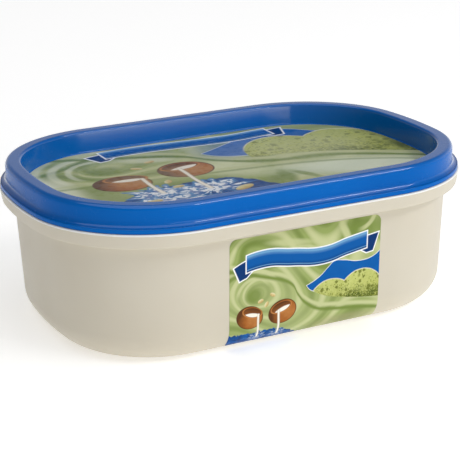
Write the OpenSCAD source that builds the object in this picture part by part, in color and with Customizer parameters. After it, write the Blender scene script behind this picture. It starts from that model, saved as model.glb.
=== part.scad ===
// Oblong ice cream tub: drafted cup with a rim band, a raised-rim snap lid,
// and three printed labels. The closed pack is modelled as solids that meet face to face.
// Origin: centre of the foot. +X along the long side, front label faces -Y, +Z up.

/* [Outline] */
// Length over the lid's lower lip
lid_len = 190; // [186:1:230]
// Width over the lid's lower lip
lid_wid = 129.4; // [122:0.2:156]
// Radius of the four corners at the lid's lip
corner_r = 51.4; // [42:0.1:60]
// Radius of the gently bowed short ends at the lid's lip
end_r = 178.1; // [150:0.1:260]

/* [Tub] */
// Height of the tub's rim, where the lid seats
seat_h = 56.2; // [44:0.1:80]
// How far the wall stands inside the lip, just under the band
wall_in = 5.3; // [4:0.1:7]
// How much further in the wall is at the foot than at the band
draft = 2.4; // [1:0.1:5]
// Radius between the wall and the foot
foot_r = 12; // [6:0.5:16]
// Height of the rim band
band_h = 5.5; // [3:0.1:9]
// How far the band's upper edge stands proud of the lip
band_out = 0.5; // [0:0.1:1.5]
// How far the band's lower edge is drawn in from its upper edge
band_draft = 1; // [0:0.1:2]
// Height of the slot between the band and the lid's lip
lid_slot = 0.5; // [0.3:0.1:1]
// How far the seat under the lid is set in from the lip
seat_in = 3; // [2:0.1:4]
// Depth of the hollow under the foot
foot_hollow = 1; // [0.5:0.1:2]
// Width of the ring the tub stands on
foot_ring = 6; // [4:0.5:12]

/* [Lid] */
// Height of the lid above the seat
lid_h = 10.1; // [8:0.1:16]
// Thickness of the recessed panel
panel_t = 0.6; // [0.5:0.1:1.5]
// Height of the lid's lower lip
lip_h = 1.8; // [1:0.1:3]
// Radius of the hollow flare above the lip, and how far the rim stands in
flare_r = 2.4; // [1.5:0.1:3]
// Width of the raised rim
rim_w = 6.5; // [5:0.1:10]
// Radius along the rim's outer edge
rim_outer_r = 1.8; // [0.5:0.1:2.2]
// Radius along the rim's inner edge
rim_inner_r = 1.2; // [0.5:0.1:2.2]

/* [Labels] */
// Width of the labels on the long sides
label_w = 67.7; // [40:0.1:80]
// How far each side label is set to the right of the middle
label_shift = 3; // [0:0.1:6]
// Clearance between a side label and the band
label_gap = 2.4; // [1:0.1:10]
// Height of the side label's lower edge above the foot
label_low = 2; // [1.5:0.1:12]
// Radius of the side label's upper corners
label_r = 3; // [1:0.5:6]
// Radius of the side label's lower corners
label_foot_r = 1; // [0.5:0.5:4]
// Thickness of each label
label_t = 0.2; // [0.1:0.05:0.4]
// Margin around the lid label
panel_margin = 1.2; // [0.5:0.1:5]

/* [Hidden] */

half_len = lid_len / 2;
half_wid = lid_wid / 2;
// Arc centres: each bowed end at (+-end_x, 0), each corner at (+-corner_x, +-corner_y)
end_x = half_len - end_r;
corner_y = half_wid - corner_r;
corner_x = end_x + sqrt(pow(end_r - corner_r, 2) - pow(corner_y, 2));
// Half the angle that a bowed end spans
end_half = atan2(corner_y, corner_x - end_x);

band_top = seat_h - lid_slot;
band_low = band_top - band_h;
top_h = seat_h + lid_h;
panel_h = seat_h + panel_t;
panel_in = flare_r + rim_w;
label_high = band_low - label_gap;

// Centre line of the foot's fillet, which meets the drafted wall at a tangent
slope = draft / band_low;
lean = sqrt(1 + slope * slope);
fillet_x = slope * foot_r - wall_in - draft - foot_r * lean;

// Flat steps in half a bowed end, a corner, the fillet and the lid's small radii
end_steps = 4;
corner_steps = 16;
foot_steps = 10;
edge_steps = 5;

// Points on an arc from angle `from` to angle `to`
function arc(x, y, r, from, to, steps) =
  [for (i = [0:steps]) let (a = from + (to - from) * i / steps) [x + r * cos(a), y + r * sin(a)]];

// One quarter of the outline, `out` millimetres outside the lip, from an end to a long side
function quarter(out) = concat(
  arc(end_x, 0, end_r + out, 0, end_half, end_steps),
  [for (i = [1:corner_steps]) arc(corner_x, corner_y, corner_r + out, end_half, 90, corner_steps)[i]]
);

// The whole outline, from the middle of the +X end round to the same place
function outline(out) =
  let (q = quarter(out), last = len(q) - 1)
  concat(
    q,
    [for (i = [last:-1:0]) [-q[i][0], q[i][1]]],
    [for (i = [1:last]) [-q[i][0], -q[i][1]]],
    [for (i = [last:-1:1]) [q[i][0], -q[i][1]]]
  );

// A closed solid whose section is a chain of [distance out from the lip, height] pairs. The
// first pair closes it with a flat face below, and the last with a flat face above.
module around(chain) {
  rings = [for (p = chain) outline(p[0])];
  count = len(rings[0]);
  last = len(chain) - 1;
  polyhedron(
    points = [for (k = [0:last], p = rings[k]) [p[0], p[1], chain[k][1]]],
    faces = concat(
      [[for (i = [0:count - 1]) i]],
      [[for (i = [count - 1:-1:0]) last * count + i]],
      [for (k = [0:last - 1], i = [0:count - 1])
        let (j = (i + 1) % count)
        [k * count + i, (k + 1) * count + i, (k + 1) * count + j, k * count + j]]
    ),
    convexity = 4
  );
}

// The foot's fillet in section, `out` millimetres off its surface, from the floor to the wall
function foot_arc(out) = arc(fillet_x, foot_r, foot_r + out, -90, -atan(slope), foot_steps);

// A side label's section: a film on the fillet that runs on up the wall
module film_profile() {
  wall = -wall_in - slope * label_gap;
  inner = foot_arc(0);
  outer = foot_arc(label_t);
  polygon(concat(
    inner,
    [[wall, label_high], [wall + label_t * lean, label_high]],
    [for (i = [foot_steps:-1:0]) outer[i]]
  ));
}

// A side label's outline, seen square on to the long side
module label_outline() {
  polygon(concat(
    arc(label_foot_r, label_low + label_foot_r, label_foot_r, 180, 270, edge_steps),
    arc(label_w - label_foot_r, label_low + label_foot_r, label_foot_r, 270, 360, edge_steps),
    arc(label_w - label_r, label_high - label_r, label_r, 0, 90, edge_steps),
    arc(label_r, label_high - label_r, label_r, 90, 180, edge_steps)
  ));
}

// The front's label: a film along the wall, cut to its outline
module side_label() {
  left = label_shift - label_w / 2;
  intersection() {
    translate([left - 1, -half_wid, 0])
      rotate([90, 0, 90])
        linear_extrude(label_w + 2)
          mirror([1, 0])
            film_profile();
    translate([left, 0, 0])
      rotate([90, 0, 0])
        linear_extrude(half_wid + 1)
          label_outline();
  }
}

// Cream cup with a foot ring, a drafted wall and a rim band, solid under its lid
module tub() {
  ring_in = fillet_x - foot_ring;
  color("#DAD4C4")
    around(concat(
      [[ring_in, foot_hollow], [ring_in, 0]],
      foot_arc(0),
      [
        [-wall_in, band_low],
        [band_out - band_draft, band_low],
        [band_out, band_top],
        [-seat_in, band_top],
        [-seat_in, seat_h]
      ]
    ));
}

// Blue lid: lower lip, hollow flare, raised rim and recessed panel
module lid() {
  flare_top = seat_h + lip_h + flare_r;
  color("#0064BC")
    around(concat(
      [[0, seat_h]],
      arc(0, flare_top, flare_r, -90, -180, edge_steps),
      arc(-flare_r - rim_outer_r, top_h - rim_outer_r, rim_outer_r, 0, 90, edge_steps),
      arc(rim_inner_r - panel_in, top_h - rim_inner_r, rim_inner_r, 90, 180, edge_steps),
      [[-panel_in, panel_h]]
    ));
}

// Print on the lid's recessed panel
module label_lid() {
  edge = panel_in + panel_margin;
  color("#A3B96C")
    around([[-edge, panel_h], [-edge, panel_h + label_t]]);
}

// Print on the front of the cup
module label_front() {
  color("#A3B96C")
    side_label();
}

// The same print on the back
module label_back() {
  color("#A3B96C")
    rotate([0, 0, 180])
      side_label();
}

tub();
lid();
label_lid();
label_front();
label_back();
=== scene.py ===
"""Oblong ice cream tub: cream cup, blue lid, printed labels. Metres, +Z up."""
import math
import bpy
from mathutils import Matrix, Vector


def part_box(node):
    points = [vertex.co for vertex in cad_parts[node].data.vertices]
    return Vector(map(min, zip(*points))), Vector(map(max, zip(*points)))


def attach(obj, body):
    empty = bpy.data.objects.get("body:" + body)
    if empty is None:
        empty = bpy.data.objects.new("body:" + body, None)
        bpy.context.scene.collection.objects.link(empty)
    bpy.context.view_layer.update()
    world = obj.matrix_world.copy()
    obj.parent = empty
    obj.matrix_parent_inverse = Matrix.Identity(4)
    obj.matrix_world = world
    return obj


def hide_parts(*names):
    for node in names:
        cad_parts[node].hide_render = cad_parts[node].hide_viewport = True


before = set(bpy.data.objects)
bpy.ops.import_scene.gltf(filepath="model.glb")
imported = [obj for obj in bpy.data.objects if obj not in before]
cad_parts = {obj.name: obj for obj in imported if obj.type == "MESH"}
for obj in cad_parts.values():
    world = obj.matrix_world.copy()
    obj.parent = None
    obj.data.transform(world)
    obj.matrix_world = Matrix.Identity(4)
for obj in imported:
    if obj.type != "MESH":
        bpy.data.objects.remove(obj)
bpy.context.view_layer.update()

MM = 0.001
touching = 0.001 * MM
sharp_angle = math.radians(50)


# ---------------------------------------------------------------- nodes as Python expressions

class Value:
    """A node's output that takes part in arithmetic, and adds a Math node for each step."""

    def __init__(self, wiring, socket):
        self.wiring, self.socket = wiring, socket

    def math(self, operation, *others, swap=False):
        made = self.wiring.tree.nodes.new("ShaderNodeMath")
        made.operation = operation
        terms = [*others, self] if swap else [self, *others]
        for socket, term in zip(made.inputs, terms):
            self.wiring.feed(socket, term)
        return Value(self.wiring, made.outputs[0])

    def __add__(self, other):
        return self.math("ADD", other)

    def __radd__(self, other):
        return self.math("ADD", other)

    def __sub__(self, other):
        return self.math("SUBTRACT", other)

    def __rsub__(self, other):
        return self.math("SUBTRACT", other, swap=True)

    def __mul__(self, other):
        return self.math("MULTIPLY", other)

    def __rmul__(self, other):
        return self.math("MULTIPLY", other)

    def __truediv__(self, other):
        return self.math("DIVIDE", other)

    def __rtruediv__(self, other):
        return self.math("DIVIDE", other, swap=True)

    def __neg__(self):
        return self.math("MULTIPLY", -1.0)

    def most(self, other):
        return self.math("MAXIMUM", other)

    def sin(self):
        return self.math("SINE")

    def cos(self):
        return self.math("COSINE")

    def size(self):
        return self.math("ABSOLUTE")

    def root(self):
        return self.math("SQRT")

    def floor(self):
        return self.math("FLOOR")

    def nearest(self):
        return self.math("ROUND")

    def below(self, other):
        return self.math("LESS_THAN", other)

    def over(self, level, soft):
        """0 well under `level`, 1 well over it, and a smooth step `soft` wide each way."""
        return self.wiring.node(
            "ShaderNodeMapRange", {"interpolation_type": "SMOOTHSTEP"},
            {"Value": self, "From Min": level - soft, "From Max": level + soft})

    def under(self, level, soft):
        """1 well under `level`, 0 well over it."""
        return 1.0 - self.over(level, soft)


class Wiring:
    """Builds one node tree."""

    def __init__(self, tree):
        self.tree = tree

    def feed(self, socket, value):
        """Links a node's output to a socket, or sets the socket's own value."""
        if isinstance(value, Value):
            self.tree.links.new(value.socket, socket)
        else:
            socket.default_value = value

    def node(self, kind, settings=None, values=None, out=0):
        """A node with its settings, then the values or links of its sockets; gives one output.
        A ramp's stops are (place, colour), and a curve's points are (x, y)."""
        made = self.tree.nodes.new(kind)
        for name, setting in (settings or {}).items():
            if name == "stops":
                ramp = made.color_ramp
                for spare in list(ramp.elements)[1:]:
                    ramp.elements.remove(spare)
                ramp.elements[0].position, ramp.elements[0].color = setting[0]
                for place, colour in setting[1:]:
                    ramp.elements.new(place).color = colour
            elif name == "points":
                line = made.mapping.curves[0].points
                for spot in setting[1:-1]:
                    line.new(*spot)
                line[0].location, line[-1].location = setting[0], setting[-1]
                made.mapping.update()
            else:
                setattr(made, name, setting)
        for name, value in (values or {}).items():
            self.feed(made.inputs[name], value)
        return Value(self, made.outputs[out])

    def parts(self, vector):
        """The three numbers of a vector."""
        made = self.tree.nodes.new("ShaderNodeSeparateXYZ")
        self.feed(made.inputs[0], vector)
        return [Value(self, socket) for socket in made.outputs]

    def join(self, x, y, z=0.0):
        return self.node("ShaderNodeCombineXYZ", None, {"X": x, "Y": y, "Z": z})

    def blend(self, factor, first, second):
        """Mixes two colours."""
        return self.node("ShaderNodeMix", {"data_type": "RGBA"}, {0: factor, 6: first, 7: second}, 2)

    def noise(self, vector, scale, detail=2.0, roughness=0.5):
        return self.node("ShaderNodeTexNoise", None, {
            "Vector": vector, "Scale": scale, "Detail": detail, "Roughness": roughness})


def rgb(red, green, blue):
    """A display colour, 0 to 255, as linear light."""
    def linear(c):
        c /= 255.0
        return c / 12.92 if c <= 0.04045 else ((c + 0.055) / 1.055) ** 2.4
    return (linear(red), linear(green), linear(blue), 1.0)


# ---------------------------------------------------------------- sizes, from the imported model

tub_low, tub_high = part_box("tub")
lid_low, lid_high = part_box("lid")
side_low, side_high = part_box("label_front")
top_low, top_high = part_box("label_lid")

half_len = lid_high[0] / MM
half_wid = lid_high[1] / MM
seat_h = lid_low[2] / MM
top_h = lid_high[2] / MM
panel_h = top_low[2] / MM
band_out = tub_high[0] / MM - half_len
print_in = half_len - top_high[0] / MM

# the part's own sizes, in millimetres
corner_r, end_r = 51.4, 178.1
wall_in, draft, foot_r = 5.3, 2.4, 12.0
lid_slot, band_h, band_draft, seat_in = 0.5, 5.5, 1.0, 3.0
foot_hollow, foot_ring = 1.0, 6.0
lip_h, flare_r, rim_w, rim_outer_r, rim_inner_r = 1.8, 2.4, 6.5, 1.8, 1.2
label_r, label_foot_r, film_t = 3.0, 1.0, 0.1

# sizes of the fine shape that only the visual model has
edge_r, ledge_gap, ledge_r, rim_lean, panel_r = 0.4, 0.15, 0.5, 1.5, 0.8

# how far a section's first and last flats run inwards, and where a flat's shading starts beside a radius
closing, flat_beside_r = 2.0, 0.35

end_x = half_len - end_r
corner_y = half_wid - corner_r
corner_x = end_x + math.sqrt((end_r - corner_r) ** 2 - corner_y ** 2)
end_half = math.atan2(corner_y, corner_x - end_x)

band_top = seat_h - lid_slot
band_low = band_top - band_h
panel_in = flare_r + rim_w
slope = draft / band_low
lean = math.sqrt(1 + slope * slope)
fillet_x = slope * foot_r - wall_in - draft - foot_r * lean


# ---------------------------------------------------------------- sections

def rounded(corners, steps=7):
    """A chain of (distance out, height) points from corners that each carry a radius. Beside each
    rounded corner it puts a point on the flats, so that their shading stays flat."""
    chain = []
    for i, (x, z, radius) in enumerate(corners):
        here = Vector((x, z))
        if radius == 0 or i in (0, len(corners) - 1):
            chain.append((x, z))
            continue
        back = Vector(corners[i - 1][:2]) - here
        on = Vector(corners[i + 1][:2]) - here
        turn = math.pi - back.angle(on)
        reach = radius * math.tan(turn / 2)
        start, end = here + back.normalized() * reach, here + on.normalized() * reach
        centre = here + (back.normalized() + on.normalized()).normalized() * math.hypot(radius, reach)
        beside = min(flat_beside_r, (back.length - reach) * 0.3)
        chain.append(tuple(start + back.normalized() * beside))
        first, last = start - centre, end - centre
        count = steps if radius < foot_r else 4 * steps
        for k in range(count + 1):
            share = k / count
            lever = (first * math.sin((1 - share) * turn) + last * math.sin(share * turn)) / math.sin(turn)
            chain.append(tuple(centre + lever))
        beside = min(flat_beside_r, (on.length - reach) * 0.3)
        chain.append(tuple(end + on.normalized() * beside))
    return chain


def closed(chain):
    """Adds the flat faces that close a section below and above, as rings that shrink to a point."""
    (x0, z0), (x1, z1) = chain[0], chain[-1]
    rows = [(x0, 0.0, z0), (x0, 0.5, z0)]
    rows += [(x, 1.0, z) for x, z in chain]
    rows += [(x1, 0.5, z1), (x1, 0.0, z1)]
    return rows


def table_of(name, rows):
    """A hidden set of points that a tree reads its section or rows from."""
    mesh = bpy.data.meshes.new(name)
    mesh.from_pydata(rows, [], [])
    return bpy.data.objects.new(name, mesh)


# ---------------------------------------------------------------- trees

def new_tree(name, inputs):
    tree = bpy.data.node_groups.new(name, "GeometryNodeTree")
    tree.interface.new_socket("Geometry", in_out="INPUT", socket_type="NodeSocketGeometry")
    for label, kind in inputs:
        tree.interface.new_socket(label, in_out="INPUT", socket_type="NodeSocket" + kind)
    tree.interface.new_socket("Geometry", in_out="OUTPUT", socket_type="NodeSocketGeometry")
    wiring = Wiring(tree)
    source = tree.nodes.new("NodeGroupInput")
    return wiring, {socket.name: Value(wiring, socket) for socket in source.outputs if socket.name}


def finish_tree(wiring, geometry, material):
    real = wiring.node("GeometryNodeRealizeInstances", None, {"Geometry": geometry})
    painted = wiring.node("GeometryNodeSetMaterial", None, {"Geometry": real, "Material": material})
    wiring.feed(wiring.tree.nodes.new("NodeGroupOutput").inputs[0], painted)


def grid_of(w, columns, rows):
    """A grid of columns by rows, with each point's column and row number."""
    sheet = w.node("GeometryNodeMeshGrid", None, {
        "Size X": columns - 1.0, "Size Y": rows - 1.0, "Vertices X": columns, "Vertices Y": rows})
    x, y, _ = w.parts(w.node("GeometryNodeInputPosition"))
    column = (x + (columns - 1.0) * 0.5).nearest()
    row = (y + (rows - 1.0) * 0.5).nearest()
    return sheet, column, row


def row_point(w, rows_object, row):
    """The three numbers that the hidden set of points holds for a row."""
    points = w.node("GeometryNodeObjectInfo", {"transform_space": "ORIGINAL"}, {
        "Object": rows_object}, "Geometry")
    return w.parts(w.node("GeometryNodeSampleIndex", {"data_type": "FLOAT_VECTOR", "domain": "POINT"}, {
        "Geometry": points, "Value": w.node("GeometryNodeInputPosition"), "Index": row}))


def carried_section_tree():
    """Carries a section once around the oblong outline: arcs at the corners and ends, straight sides."""
    w, given = new_tree("Carried section", [
        ("Section", "Object"), ("Section points", "Int"), ("Steps per quarter", "Int"),
        ("Corner X", "Float"), ("Corner Y", "Float"), ("Corner radius", "Float"),
        ("End X", "Float"), ("End radius", "Float"), ("End half angle", "Float"), ("Material", "Material")])
    steps = given["Steps per quarter"]
    sheet, column, row = grid_of(w, (steps + 1.0) * 4.0, given["Section points"])
    quarter = (column / (steps + 1.0) + 0.001).floor()
    along = (column - quarter * (steps + 1.0)) / steps
    odd = quarter.math("MODULO", 2.0)
    angle = (along + odd * (1.0 - 2.0 * along)) * (math.pi / 2)
    side_x = 1.0 - 2.0 * (quarter - 1.5).size().below(1.0)
    side_y = 1.0 - 2.0 * (1.5 - quarter).below(0.0)
    on_end = angle.below(given["End half angle"])
    centre_x = given["Corner X"] + on_end * (given["End X"] - given["Corner X"])
    centre_y = given["Corner Y"] * (1.0 - on_end)
    radius = given["Corner radius"] + on_end * (given["End radius"] - given["Corner radius"])
    out, shrink, height = row_point(w, given["Section"], row)
    reach = radius + out
    place = w.join(side_x * shrink * (centre_x + reach * angle.cos()),
                   side_y * shrink * (centre_y + reach * angle.sin()), height)
    shell = w.node("GeometryNodeStoreNamedAttribute", {"data_type": "FLOAT", "domain": "POINT"}, {
        "Geometry": sheet, "Name": "inward", "Value": -out})
    shell = w.node("GeometryNodeSetPosition", None, {"Geometry": shell, "Position": place})
    shell = w.node("GeometryNodeMergeByDistance", None, {"Geometry": shell, "Distance": touching})
    shell = w.node("GeometryNodeStoreNamedAttribute", {"data_type": "FLOAT_VECTOR", "domain": "POINT"}, {
        "Geometry": shell, "Name": "print", "Value": w.node("GeometryNodeInputPosition")})
    finish_tree(w, shell, given["Material"])
    return w.tree


def wall_film_tree():
    """Lays a thin printed film on the wall, row by row, and gives it its thickness."""
    w, given = new_tree("Wall film", [
        ("Rows", "Object"), ("Row count", "Int"), ("Columns", "Int"),
        ("Middle X", "Float"), ("Thickness", "Float"), ("Material", "Material")])
    sheet, column, row = grid_of(w, given["Columns"], given["Row count"])
    half, depth, height = row_point(w, given["Rows"], row)
    across = 2.0 * column / (given["Columns"] - 1.0) - 1.0
    place = w.join(given["Middle X"] + across * half, depth, height)
    back = w.node("GeometryNodeSetPosition", None, {"Geometry": sheet, "Position": place})
    x, _, z = w.parts(w.node("GeometryNodeInputPosition"))
    back = w.node("GeometryNodeStoreNamedAttribute", {"data_type": "FLOAT_VECTOR", "domain": "POINT"}, {
        "Geometry": back, "Name": "print", "Value": w.join(x, z)})
    face = w.node("GeometryNodeExtrudeMesh", {"mode": "FACES"}, {
        "Mesh": back, "Offset Scale": given["Thickness"], "Individual": False})
    under = w.node("GeometryNodeFlipFaces", None, {"Mesh": back})
    both = w.tree.nodes.new("GeometryNodeJoinGeometry")
    w.tree.links.new(face.socket, both.inputs[0])
    w.tree.links.new(under.socket, both.inputs[0])
    film = w.node("GeometryNodeMergeByDistance", None, {
        "Geometry": Value(w, both.outputs[0]), "Distance": touching})
    finish_tree(w, film, given["Material"])
    return w.tree


def grow(name, tree, inputs):
    """Runs a tree once and keeps its result as a plain mesh."""
    seed = bpy.data.objects.new(name + "_seed", bpy.data.meshes.new(name + "_seed"))
    bpy.context.collection.objects.link(seed)
    modifier = seed.modifiers.new("grow", "NODES")
    modifier.node_group = tree
    places = {item.name: item.identifier for item in tree.interface.items_tree if item.in_out == "INPUT"}
    for label, value in inputs.items():
        modifier[places[label]] = value
    seed.update_tag()
    bpy.context.view_layer.update()
    shaped = seed.evaluated_get(bpy.context.evaluated_depsgraph_get())
    mesh = bpy.data.meshes.new_from_object(shaped)
    bpy.data.objects.remove(seed)
    mesh.name = name
    mesh.shade_smooth()
    mesh.set_sharp_from_angle(angle=sharp_angle)
    made = bpy.data.objects.new(name, mesh)
    bpy.context.collection.objects.link(made)
    return made


def carried(name, section, material, steps=64):
    """A section carried around the outline, `steps` faces to each quarter."""
    rows = [(x * MM, shrink, z * MM) for x, shrink, z in closed(section)]
    return grow(name, SECTION_TREE, {
        "Section": table_of(name + "_section", rows), "Section points": len(rows), "Steps per quarter": steps,
        "Corner X": corner_x * MM, "Corner Y": corner_y * MM, "Corner radius": corner_r * MM,
        "End X": end_x * MM, "End radius": end_r * MM, "End half angle": end_half, "Material": material})


def tub_section():
    """The cup, whose band ends in a rounded ledge close under the lid."""
    ring_in = fillet_x - foot_ring
    ledge_h = seat_h - ledge_gap
    return rounded([
        (ring_in - closing, foot_hollow, 0),
        (ring_in, foot_hollow, 0.3),
        (ring_in, 0, edge_r),
        (-wall_in - draft, 0, foot_r),
        (-wall_in, band_low, edge_r),
        (band_out - band_draft, band_low, ledge_r),
        (band_out, ledge_h, ledge_r),
        (-seat_in, ledge_h, 0.05),
        (-seat_in, seat_h, 0.1),
        (-seat_in - closing, seat_h, 0),
    ])


def lid_section():
    """The lid: lip, hollow flare, raised rim, and an inner wall that leans in towards the panel."""
    lip_top = seat_h + lip_h
    return rounded([
        (-closing, seat_h, 0),
        (0, seat_h, 0.35),
        (0, lip_top, 0.45),
        (-flare_r, lip_top, flare_r - 0.5),
        (-flare_r, top_h, rim_outer_r),
        (-panel_in, top_h, rim_inner_r),
        (-panel_in - rim_lean, panel_h, panel_r),
        (-panel_in - 2 * rim_lean, panel_h, 0),
    ])


def film_rows():
    """Rows up the front wall: half the film's width there, and the wall's place."""
    low, high = side_low[2] / MM, side_high[2] / MM
    full = (side_high[0] - side_low[0]) / MM / 2
    corner_rows, wall_rows = 8, 40
    ease = [1 - math.cos(math.pi / 2 * k / corner_rows) for k in range(corner_rows + 1)]
    heights = [low + label_foot_r * e for e in ease]
    straight = high - low - label_foot_r - label_r
    heights += [low + label_foot_r + straight * k / wall_rows for k in range(1, wall_rows)]
    heights += [high - label_r * e for e in reversed(ease)]
    tangent_z = foot_r - foot_r * slope / lean
    rows = []
    for z in heights:
        if z < tangent_z:
            out = fillet_x + math.sqrt(foot_r ** 2 - (foot_r - z) ** 2)
        else:
            out = -wall_in - slope * (band_low - z)
        radius, edge = (label_foot_r, z - low) if z < foot_r else (label_r, high - z)
        near = max(0.0, radius - edge)
        half = full - radius + math.sqrt(max(0.0, radius ** 2 - near ** 2))
        rows.append((half * MM, (-half_wid - out) * MM, z * MM))
    return rows


# ---------------------------------------------------------------- materials

def new_material(name):
    material = bpy.data.materials.new(name)
    material.use_nodes = True
    material.node_tree.nodes.clear()
    return material, Wiring(material.node_tree)


def finish_material(w, shader):
    w.feed(w.tree.nodes.new("ShaderNodeOutputMaterial").inputs["Surface"], shader)


def cream_plastic():
    """Cream polypropylene: faintly clouded and satin, with a painted highlight: the ledge close under the lid
    is coloured near white.
    """
    material, w = new_material("Cream tub plastic")
    place = w.node("ShaderNodeTexCoord", None, None, "Object")
    _, _, height = w.parts(place)
    flow = w.noise(place, 22.0, 3.0)
    cloud = w.noise(place, 70.0, 4.0)
    colour = w.blend(flow.over(0.5, 0.3), rgb(208, 200, 182), rgb(213, 206, 189))
    # painted highlight: the top of the band's ledge, under the lid, is blended to near white
    ledge = height.over((seat_h - 0.8) * MM, 0.15 * MM)
    colour = w.blend(ledge, colour, rgb(242, 242, 240))
    grain = w.noise(place, 2600.0, 2.0)
    rub = w.noise(place, 240.0, 5.0, 0.7)
    rough = 0.36 + 0.1 * cloud + 0.1 * rub.over(0.62, 0.1)
    bump = w.node("ShaderNodeBump", None, {
        "Strength": 0.06, "Distance": 0.0002, "Height": grain + 2.0 * cloud})
    finish_material(w, w.node("ShaderNodeBsdfPrincipled", None, {
        "Base Color": colour, "Roughness": rough, "Normal": bump, "Specular IOR Level": 0.3,
        "Subsurface Weight": 0.1, "Subsurface Scale": 0.003, "Subsurface Radius": (1.0, 0.85, 0.65)}))
    return material


def blue_plastic():
    """Blue polyethylene: soft sheen, a polish on the flare and the rim, and half of it on the inner wall."""
    material, w = new_material("Blue lid plastic")
    place = w.node("ShaderNodeTexCoord", None, None, "Object")
    inward = w.node("ShaderNodeAttribute", {"attribute_name": "inward"}, None, "Fac")
    flare = inward.over(0.15 * MM, 0.1 * MM) * inward.under((flare_r - 0.1) * MM, 0.08 * MM)
    inner_wall = inward.over((panel_in + 0.4) * MM, 0.2 * MM)
    polished = (inward.over((flare_r + 0.15) * MM, 0.1 * MM) + flare) * (1.0 - 0.5 * inner_wall)
    flow = w.noise(place, 26.0, 3.0)
    colour = w.blend(flow.over(0.5, 0.3), rgb(0, 97, 184), rgb(0, 102, 190))
    rub = w.noise(place, 320.0, 6.0, 0.7)
    grain = w.noise(place, 1800.0, 2.0)
    rough = 0.18 + 0.06 * flow + 0.14 * rub.over(0.62, 0.12)
    bump = w.node("ShaderNodeBump", None, {
        "Strength": 0.04, "Distance": 0.0002, "Height": grain + 3.0 * w.noise(place, 90.0, 2.0)})
    finish_material(w, w.node("ShaderNodeBsdfPrincipled", None, {
        "Base Color": colour, "Roughness": rough, "Normal": bump, "Specular IOR Level": 0.07,
        "Coat Weight": polished, "Coat Roughness": 0.1}))
    return material


# ---------------------------------------------------------------- prints

PALE, CREAM, WHITE = rgb(198, 203, 150), rgb(224, 222, 186), rgb(252, 253, 255)
LEAF, DEEP_LEAF, MOSS = rgb(152, 168, 98), rgb(120, 140, 66), rgb(84, 98, 34)
MISTY = rgb(238, 240, 216)
PISTACHIO_LIGHT, PISTACHIO, PISTACHIO_SHADE = rgb(206, 211, 132), rgb(186, 192, 106), rgb(140, 148, 60)
SKY, SEA, NIGHT = rgb(118, 172, 212), rgb(0, 90, 168), rgb(4, 54, 112)
CLAY, CLAY_LIGHT, CLAY_DARK = rgb(164, 96, 40), rgb(202, 138, 78), rgb(94, 56, 28)
MILK = rgb(252, 245, 232)
NUT, NUT_LIGHT = rgb(170, 138, 74), rgb(218, 196, 136)


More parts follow.
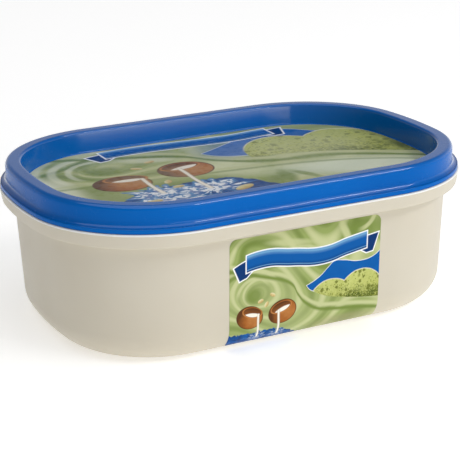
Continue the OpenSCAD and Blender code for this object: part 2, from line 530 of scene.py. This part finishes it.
class Print:
    """A label's print: plain shapes painted one over the other, at x and y in millimetres. `fine` is
    how soft their edges are, in millimetres."""

    def __init__(self, name, fine):
        self.material, self.w = new_material(name)
        self.place = self.w.node("ShaderNodeAttribute", {"attribute_name": "print"}, None, "Vector")
        x, y, _ = self.w.parts(self.place)
        self.x, self.y = x / MM, y / MM
        self.fine = fine
        self.grains = {}
        self.colour = PALE

    def paint(self, mask, colour):
        """Lays a colour over what is there, where the mask is 1."""
        self.colour = self.w.blend(mask, self.colour, colour)

    def tone(self, share, *colours):
        """Runs evenly through a few colours as `share` goes from 0 to 1."""
        stops = [(k / (len(colours) - 1), colour) for k, colour in enumerate(colours)]
        return self.w.node("ShaderNodeValToRGB", {"stops": stops}, {"Fac": share})

    def grain(self, size, detail=2.0):
        """Noise whose lumps are about `size` millimetres across."""
        if (size, detail) not in self.grains:
            self.grains[size, detail] = self.w.node("ShaderNodeTexNoise", {"noise_dimensions": "2D"}, {
                "Vector": self.place, "Scale": 1.0 / (size * MM), "Detail": detail})
        return self.grains[size, detail]

    def oval(self, centre, radii, tilt=0.0):
        """How far out in an oval each place is, 1 on its edge, and how far along and across it."""
        dx, dy = self.x - centre[0], self.y - centre[1]
        along, across = math.cos(math.radians(tilt)), math.sin(math.radians(tilt))
        u = (along * dx + across * dy) / radii[0]
        v = (along * dy - across * dx) / radii[1]
        return (u * u + v * v).root(), u, v

    def line(self, *points):
        """The height, at each place's x, of a smooth line through a few points."""
        (left, right), low = (points[0][0], points[-1][0]), min(y for _, y in points) - 5
        tall = max(y for _, y in points) + 5 - low
        spots = [((x - left) / (right - left), (y - low) / tall) for x, y in points]
        share = (self.x - left) / (right - left)
        return low + tall * self.w.node("ShaderNodeFloatCurve", {"points": spots}, {"Value": share})

    def inside(self, away, radii, spare=0.0):
        """A mask that is 1 inside an oval's edge, or `spare` millimetres outside it."""
        mean = (radii[0] + radii[1]) / 2
        return away.under(1.0 + spare / mean, self.fine / mean)

    def satin(self, drift, bands, bumps):
        """Satin folds: bands of light and dark that flow past each other and round each bump."""
        height = bands * self.grain(drift, 0.0)
        for centre, radii, tilt, rings in bumps:
            away, _, _ = self.oval(centre, radii, tilt)
            height = height + rings / (1.0 + away * away)
        wave = 0.5 + 0.5 * (height * math.tau).sin()
        folds = self.tone(wave, DEEP_LEAF, LEAF, LEAF, PALE)
        self.colour = self.w.blend(0.4 * self.grain(drift * 0.8, 1.0).over(0.5, 0.2), folds, PALE)

    def fold(self, line, half, strength=1.0):
        """One raised fold that follows a line: a light band with a shadow along its lower side."""
        gap = self.y - line
        self.paint(strength * (gap + half * 1.7).size().under(half * 0.6, half * 0.6), DEEP_LEAF)
        self.paint(strength * gap.size().under(half * 0.7, half * 0.5), PALE)

    def glow(self, centre, radii, tilt, colour, strength):
        """A soft patch of another shade."""
        away, _, _ = self.oval(centre, radii, tilt)
        self.paint(strength * away.under(0.8, 0.4), colour)

    def arc(self, centre, radius, half, sweep, colour, strength=0.9):
        """Part of a ring: `sweep` points towards the side of it that is kept."""
        away, u, v = self.oval(centre, (radius, radius))
        band = ((away - 1.0) * radius).size().under(half, half * 0.5)
        self.paint(strength * band * (sweep[0] * u + sweep[1] * v).over(0.4, 0.3), colour)

    def swoosh(self, left, top, bottom, shade):
        """A blue sweep between two lines, with a white edge along its top."""
        above, under = self.y - bottom, top - self.y
        start = (self.x - left).over(0.0, self.fine)
        edge = 1.6 * self.fine
        self.paint((above + edge).over(0.0, self.fine) * (under + edge).over(0.0, self.fine)
                   * (self.x - left + edge).over(0.0, self.fine), WHITE)
        sweep = self.w.blend(self.grain(30.0 * self.fine).over(0.5, 0.3), SEA, shade)
        self.paint(above.over(0.0, self.fine) * under.over(0.0, self.fine) * start, sweep)

    def crumbs(self, size, share, mask, colour):
        """Chopped nuts: one crumb in each cell that a draw picks."""
        cells = self.w.node("ShaderNodeTexVoronoi", {"voronoi_dimensions": "2D"}, {
            "Vector": self.place, "Scale": 1.0 / (size * MM), "Randomness": 1.0})
        draw, _, _ = self.w.parts(Value(self.w, cells.socket.node.outputs["Color"]))
        lump = (cells + 0.5 * self.grain(self.crumb * 0.4)).under(0.56, 0.06)
        self.paint(mask * lump * (draw + share).over(1.0, 0.01), colour)

    def scoops(self, shapes, base, crumb, bite):
        """Round scoops of pistachio ice cream, cut off along a base line."""
        self.crumb = crumb
        lumps = self.grain(crumb * 8.0, 3.0)
        above = (self.y - base).over(0.0, self.fine)
        covered = 0.0
        for centre, radii in shapes:
            away, u, v = self.oval(centre, radii)
            away = away + 0.05 * (lumps - 0.5)
            rim = self.inside(away, radii, 2.5 * self.fine) * above * v.over(0.5, 0.2)
            self.paint(rim * (1.0 - covered), CREAM)
            body = self.inside(away, radii) * above
            light = 0.62 + 0.3 * v - 0.15 * u - 0.2 * away + 0.7 * (self.grain(crumb * 1.2, 3.0) - 0.5)
            self.paint(body, self.tone(light, PISTACHIO_SHADE, PISTACHIO, PISTACHIO_LIGHT))
            covered = body.most(covered)
        depth = (self.y - base) / shapes[-1][1][1]
        heap = (self.x - shapes[0][0][0]).over(shapes[0][1][0] * 0.6, shapes[0][1][0] * 0.5)
        thick = (0.8 - 1.4 * depth).most(0.0) * (0.25 + 0.75 * heap) * lumps.over(0.38, 0.2)
        self.paint(bite * covered * thick * 2.2 * self.grain(crumb, 2.0).over(0.45, 0.2), MOSS)
        self.crumbs(crumb * 0.9, 0.14 + thick, bite * covered, rgb(128, 138, 48))
        self.crumbs(crumb * 0.7, 0.05 + 1.5 * thick, bite * covered, MOSS)
        self.crumbs(crumb * 2.4, 0.3, bite * covered, rgb(108, 116, 44))

    def bowl(self, centre, radii, tilt, mouth, pour, foot):
        """A clay bowl tipped over, and the milk that runs from its lip down to `foot`."""
        away, u, v = self.oval(centre, radii, tilt)
        self.paint(self.inside(away, radii, self.fine * 2.0), CLAY_DARK)
        round_off = 0.78 - 0.55 * away + 0.4 * u - 0.25 * v + 0.25 * (self.grain(radii[1] * 0.4) - 0.5)
        self.paint(self.inside(away, radii), self.tone(round_off, CLAY_DARK, CLAY, CLAY_LIGHT))
        opening = (radii[0] * 0.82, radii[1] * 0.5)
        away, u, v = self.oval(mouth, opening, tilt)
        self.paint(self.inside(away, opening), self.tone(0.5 - 0.5 * v, CLAY, CLAY_LIGHT))
        self.paint(self.inside(away * 1.14, opening), self.tone(0.35 - 0.5 * v, CLAY_DARK, CLAY))
        self.paint(self.inside(away * 1.25, opening) * (v + 0.5 * u * u - 0.25 * u).under(-0.1, 0.1), MILK)
        half = radii[0] * 0.075
        beside = (self.x - pour - 0.4 * half * (self.y / (half * 6.0)).sin()).size()
        beside = beside - 0.25 * half * self.grain(half * 3.0)
        run = (self.y - foot).over(0.0, half) * (mouth[1] - radii[1] * 0.2 - self.y).over(0.0, half * 0.6)
        self.paint(0.7 * beside.under(half * 1.2, half * 0.4) * run, rgb(196, 190, 172))
        self.paint(beside.under(half * 0.7, half * 0.3) * run, MILK)

    def splash(self, surface, size, feet, spray):
        """Blue water under a surface line, with a ring of spray where the milk runs in."""
        choppy = surface + size * 1.2 * (self.grain(size * 1.1) - 0.5)
        pool = (choppy - self.y).over(0.0, self.fine)
        streaks = self.w.noise(self.w.join(self.x * 0.4, self.y), 2.0 / size, 2.0)
        self.paint(pool, self.tone(streaks, NIGHT, NIGHT, SEA, SKY))
        for centre, radii in feet:
            away, u, v = self.oval(centre, radii)
            turn = self.w.join(u / away, v / away, away * 0.35)
            rays = self.w.noise(turn, 5.0, 1.0).over(0.5, 0.3)
            reach = 0.35 + 0.75 * rays + 0.25 * v / away
            wet = self.tone(self.grain(size * 0.5), SEA, SKY)
            self.paint(spray * (reach * 1.15 - away).over(0.0, 0.08), wet)
            foam = (reach - away).over(0.08, 0.08) * self.grain(size * 0.4).over(0.42, 0.06)
            self.paint(spray * foam, WHITE)
            hollow = (away - 0.5).size().under(0.16, 0.1) * self.grain(size * 0.7).over(0.5, 0.08)
            self.paint(0.8 * hollow, SEA)

    def ribbon(self, left, right, half, line):
        """A plain banner with its two ends folded behind it, where a name would be."""
        gap, edge = (self.y - line).size(), 3.0 * self.fine
        lower = self.y - line + half * 0.6
        for end, turn in ((left, -1.0), (right, 1.0)):
            beyond = turn * (self.x - end)
            reach = half * 1.2 + 0.35 * lower
            for spare, colour in ((edge, WHITE), (0.0, NIGHT)):
                fold = (beyond + 1.33 * (lower + half)).over(-1.6 * spare, 1.6 * self.fine)
                tail = lower.size().under(half + spare, self.fine) * fold
                self.paint(tail * (reach + spare - beyond).over(0.0, self.fine), colour)
        shine = self.tone(0.5 + 0.5 * (self.y - line) / half, NIGHT, SEA, SEA, SKY)
        for spare, colour in ((edge, WHITE), (0.0, shine)):
            body = gap.under(half + spare, self.fine) * (self.x - left + spare).over(0.0, self.fine)
            self.paint(body * (right + spare - self.x).over(0.0, self.fine), colour)
        trim = (gap - half * 0.76).size().under(self.fine, self.fine)
        ends = (self.x - left).over(0.0, self.fine) * (right - self.x).over(0.0, self.fine)
        self.paint(0.85 * trim * ends, SKY)

    def nut(self, centre, radii, tilt):
        """A pale nut kernel."""
        away, _, v = self.oval(centre, radii, tilt)
        light = 0.5 + 0.4 * v + 0.5 * (self.grain(radii[0] * 0.6) - 0.5)
        self.paint(self.inside(away, radii), self.tone(light, NUT, NUT_LIGHT, CREAM))

    def finish(self, roughness, gloss):
        """The film itself: faint grain and rubbed places under the colours."""
        w = self.w
        rub = self.grain(3.0, 5.0)
        film = w.node("ShaderNodeBump", None, {
            "Strength": 0.05, "Distance": 0.0001, "Height": self.grain(0.5) + 3.0 * self.grain(9.0, 1.0)})
        finish_material(w, w.node("ShaderNodeBsdfPrincipled", None, {
            "Base Color": self.colour, "Roughness": roughness + 0.2 * rub.over(0.6, 0.15),
            "Normal": film, "Specular IOR Level": gloss}))
        return self.material


def side_label_print():
    """The print on the front and the back of the cup."""
    p = Print("Side label print", 0.16)
    p.satin(38.0, 5.0, [
        ((-20, 23), (9, 8), 20, 2.6), ((-24, 44), (9, 7), 0, 1.2), ((30, 54), (12, 10), 0, 1.4)])
    p.glow((-20, 23), (4.6, 4), 20, DEEP_LEAF, 0.9)
    p.glow((-21, 45.5), (10, 3), 0, DEEP_LEAF, 0.3)
    p.glow((27, 43), (11, 7), 0, DEEP_LEAF, 0.85)
    p.glow((20.5, 43), (7.5, 1.9), -64, PALE, 0.9)
    p.glow((-4, 42.6), (12, 1.8), -8, PALE, 0.8)
    p.glow((22, 4), (20, 4), 0, rgb(170, 164, 124), 0.5)
    p.fold(p.line((-31, 33), (-22, 35.5), (-10, 36), (0, 40), (10, 37), (16, 34)), 1.1, 0.8)
    p.arc((26, 51), 8.3, 0.9, (1.0, -0.2), PALE)
    p.arc((-20, 23), 7.2, 0.7, (-0.3, 1.0), PALE)
    p.arc((-20, 23), 10.4, 0.8, (-0.1, 1.0), PALE)
    under = p.line((-12, 31), (-3.5, 27), (-0.5, 22), (3, 17.7), (9, 14), (16, 12.7), (27, 11.2), (38, 9))
    p.fold(under, 1.2)
    top = p.line((3.3, 22.9), (9, 25.6), (13, 29), (16, 31.2), (20, 30.8), (27, 29.3), (33, 29.9), (38, 33.5))
    bottom = p.line((3.3, 22.9), (6, 20.3), (12, 18.6), (20, 17), (38, 16))
    p.swoosh(3.3, top, bottom, rgb(0, 95, 174))
    base = p.line((6.4, 20), (12, 17), (19, 15.2), (27, 13.6), (38, 12.2))
    p.scoops([((14.5, 15.5), (9.5, 8.1)), ((28.6, 15), (10.3, 10.4))], base, 0.9, 0.9)
    surface = p.line((-31, 7.6), (-22, 7), (-12, 7.2), (-4, 5), (3, 2), (38, 0))
    p.splash(surface, 2.2, [((-18.1, 4), (4.2, 2.8)), ((-9, 3.8), (4.2, 2.6))], 0.3)
    p.bowl((-22, 14.1), (5.6, 4.6), -15, (-20.8, 16), -18.1, 4.5)
    p.bowl((-7.5, 14.1), (6, 4.8), 14, (-8, 16), -9, 4)
    for centre, tilt in (((-17.2, 20.2), 20), ((-11.9, 22), -30), ((-14.6, 18.4), 60)):
        p.nut(centre, (1.3, 0.8), tilt)
    p.ribbon(-23.5, 30.5, 3.5, p.line((-28, 35), (-16, 37.8), (-3, 36.2), (10, 34.6), (22, 36.6), (35, 38.6)))
    return p.finish(0.34, 0.1)


def lid_label_print():
    """The print on the lid's panel, with patches of painted sheen and painted reflection laid over it, and a
    patch of painted shade at the scoops' right end.
    """
    p = Print("Lid label print", 0.3)
    p.satin(80.0, 5.0, [
        ((-48, 23), (18, 16), 20, 2.6), ((22, -26), (14, 12), 0, 1.4), ((-62, 48), (20, 12), 30, 1.6)])
    p.glow((-48, 23), (9, 6.5), 10, DEEP_LEAF, 0.7)
    # painted reflection: a large pale patch over the right of the print, for the gloss of the background seen
    # at a grazing angle
    p.glow((55, -22), (48, 16), -16, rgb(228, 236, 214), 0.85)
    p.glow((2, 2), (16, 20), 40, rgb(220, 225, 184), 0.8)
    p.glow((15.5, -21), (4, 11), -8, DEEP_LEAF, 0.75)
    p.glow((24, -22), (2.6, 10), 25, DEEP_LEAF, 0.75)
    # painted reflection: a pale patch along the print's far left end
    p.glow((-76, 8), (10, 26), 10, rgb(232, 234, 208), 0.8)
    p.fold(p.line((-84, 30), (-60, 40), (-42, 52), (-30, 58)), 2.6, 0.9)
    p.glow((-64, 48), (12, 4), 35, DEEP_LEAF, 0.6)
    p.glow((-26, 30), (16, 5), -20, rgb(226, 229, 196), 0.7)
    for radius, shade, share in ((12.5, DEEP_LEAF, 0.3), (15.5, MISTY, 0.5), (19, DEEP_LEAF, 0.2),
                                 (22.5, MISTY, 0.5), (26.5, DEEP_LEAF, 0.15), (30, MISTY, 0.5)):
        p.arc((-48, 23), radius, radius * 0.085, (-0.8, 0.6), shade, share)
    p.fold(p.line((-30, 42), (-10, 32), (0, 20), (20, 8), (45, 4), (70, -9), (90, -24)), 3.0)
    p.fold(p.line((8, 0), (38, -5), (58, -12), (78, -24), (90, -36)), 2.0, 0.6)
    p.swoosh(-1, p.line((-1, 27), (10, 33), (20, 39), (30, 46), (45, 48), (60, 38), (75, 20)),
             p.line((-1, 27), (10, 17), (40, 12), (75, 0)), rgb(70, 116, 186))
    p.glow((14, 30), (22, 18), 30, rgb(120, 150, 205), 0.4)
    base = p.line((12, 11.5), (25, 10), (40, 7), (62, -2), (90, -20))
    p.scoops([((37, 11), (21.5, 26)), ((65, 2), (23, 34))], base, 2.0, 0.6)
    # painted shade: a dark patch at the right end of the scoops
    p.glow((84, -2), (6, 10), 0, MOSS, 0.5)
    # painted sheen: a faint pale veil over the scoops and the sweep
    p.glow((44, 14), (30, 22), 0, rgb(222, 226, 196), 0.2)
    surface = p.line((-84, -50), (-70, -38), (-62, -28), (-54, -17), (-42, -11), (-28, -10), (-14, -9),
                     (-2, -14), (5, -25), (14, -38), (34, -48), (90, -58))
    p.splash(surface, 6.0, [((-39, -19), (15, 10)), ((-19.5, -22), (16, 11)), ((-46, -30), (20, 8))], 0.92)
    p.nut((-47, -26), (4, 2), 10)
    p.nut((-7, -26), (5, 2.4), 25)
    p.bowl((-48.5, 2.5), (11.8, 10), -10, (-45, 8), -39, -18)
    p.bowl((-17, 9), (11.9, 10.6), 8, (-17.5, 14), -19.5, -21)
    for centre, tilt in (((-26, 27), 20), ((-35, 20), -30), ((-31, -4), 60), ((-30, -12), 10)):
        p.nut(centre, (2.6, 1.6), tilt)
    # painted sheen: a faint warm pale veil over the bowls
    p.glow((-32, 6), (30, 14), 0, rgb(216, 206, 164), 0.14)
    p.ribbon(-40, 42, 5.0, p.line((-50, 43), (-28, 47), (-5, 46), (20, 44.5), (36, 46), (52, 48)))
    return p.finish(0.28, 0.5)


# ---------------------------------------------------------------- pieces

SECTION_TREE = carried_section_tree()
FILM_TREE = wall_film_tree()

cream = cream_plastic()
blue = blue_plastic()
side_print = side_label_print()
lid_print = lid_label_print()

tub = carried("tub_body", tub_section(), cream)
lid = carried("lid_body", lid_section(), blue)
panel_print = carried("lid_print", rounded([
    (-print_in - closing, panel_h, 0),
    (-print_in, panel_h, 0.02),
    (-print_in, panel_h + film_t, 0.03),
    (-print_in - closing, panel_h + film_t, 0),
], 3), lid_print)

rows = film_rows()
front_print = grow("front_print", FILM_TREE, {
    "Rows": table_of("film_rows", rows), "Row count": len(rows), "Columns": 61,
    "Middle X": (side_low[0] + side_high[0]) / 2, "Thickness": film_t * MM, "Material": side_print})
back_print = bpy.data.objects.new("back_print", front_print.data.copy())
back_print.data.transform(Matrix.Rotation(math.pi, 4, "Z"))
bpy.context.collection.objects.link(back_print)

for piece, slot, node in (
        (tub, "tub_plastic", "tub"),
        (lid, "lid_plastic", "lid"),
        (panel_print, "label_print", "label_lid"),
        (front_print, "label_print", "label_front"),
        (back_print, "label_print", "label_back")):
    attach(piece, "root")
    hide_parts(node)


# ---------------------------------------------------------------- floor, light and camera

def floor():
    """A plain white floor with a faint glow, so that the shadow on it stays soft."""
    mesh = bpy.data.meshes.new("floor")
    reach = 20.0
    corners = [(-reach, -reach, 0), (reach, -reach, 0), (reach, reach, 0), (-reach, reach, 0)]
    mesh.from_pydata(corners, [], [(0, 1, 2, 3)])
    made = bpy.data.objects.new("floor", mesh)
    bpy.context.collection.objects.link(made)
    material, w = new_material("Pale floor")
    finish_material(w, w.node("ShaderNodeBsdfPrincipled", None, {
        "Base Color": (0.95, 0.95, 0.95, 1.0), "Roughness": 0.9, "Specular IOR Level": 0.0,
        "Emission Color": (1.0, 1.0, 1.0, 1.0), "Emission Strength": 0.4}))
    mesh.materials.append(material)


def soft_light(name, place, aim, wide, tall, watts):
    """A flat rectangle of light at `place`, turned towards `aim`."""
    data = bpy.data.lights.new(name, "AREA")
    data.shape, data.size, data.size_y, data.energy = "RECTANGLE", wide, tall, watts
    made = bpy.data.objects.new(name, data)
    made.location = place
    made.rotation_euler = (Vector(aim) - Vector(place)).to_track_quat("-Z", "Y").to_euler()
    bpy.context.collection.objects.link(made)


def camera():
    """A long lens from the front left, a little above the lid."""
    azimuth, elevation, roll = math.radians(-26.43), math.radians(18.33), math.radians(-1.08)
    distance = 0.620
    aim = Vector((0, 0, top_h * MM / 2))
    level = math.cos(elevation)
    back = Vector((math.sin(azimuth) * level, -math.cos(azimuth) * level, math.sin(elevation)))
    right = (-back).cross(Vector((0, 0, 1))).normalized()
    up = right.cross(-back)
    turned_right = right * math.cos(roll) + up * math.sin(roll)
    turned_up = up * math.cos(roll) - right * math.sin(roll)
    data = bpy.data.cameras.new("camera")
    data.lens, data.sensor_width = 113.9, 36.0
    data.shift_x, data.shift_y = -0.0054, -0.017
    data.clip_start, data.clip_end = 0.01, 20.0
    made = bpy.data.objects.new("camera", data)
    made.matrix_world = Matrix((turned_right, turned_up, back)).transposed().to_4x4()
    made.location = aim + back * distance
    bpy.context.collection.objects.link(made)
    bpy.context.scene.camera = made


def pale_world():
    """Dim overhead and pale towards the horizon, like white studio walls, brighter on the right."""
    world = bpy.data.worlds.new("studio")
    world.use_nodes = True
    w = Wiring(world.node_tree)
    right, _, up = w.parts(w.node("ShaderNodeTexCoord", None, None, "Generated"))
    shade = w.node("ShaderNodeMapRange", None, {
        "Value": up, "From Min": 0.08, "From Max": 0.5, "To Min": 0.5, "To Max": 0.08})
    shade = shade * (1.0 + 0.5 * right)
    w.feed(world.node_tree.nodes["Background"].inputs["Strength"], shade)
    world.node_tree.nodes["Background"].inputs["Color"].default_value = (1.0, 1.0, 1.0, 1.0)
    bpy.context.scene.world = world


def overhead_light():
    """A very soft light from above."""
    data = bpy.data.lights.new("overhead", "SUN")
    data.energy, data.angle = 1.2, math.radians(80)
    made = bpy.data.objects.new("overhead", data)
    made.rotation_euler = Vector((-0.05, -0.12, 1)).to_track_quat("Z", "Y").to_euler()
    bpy.context.collection.objects.link(made)


floor()
pale_world()
overhead_light()
soft_light("key", (0.9, -1.1, 1.2), (0, 0, 0.03), 1.1, 0.12, 9.0)
soft_light("front fill", (0.24, -1.25, 0.28), (0, 0, 0.05), 0.95, 0.34, 2.7)
bpy.context.scene.view_settings.view_transform = "Standard"
camera()
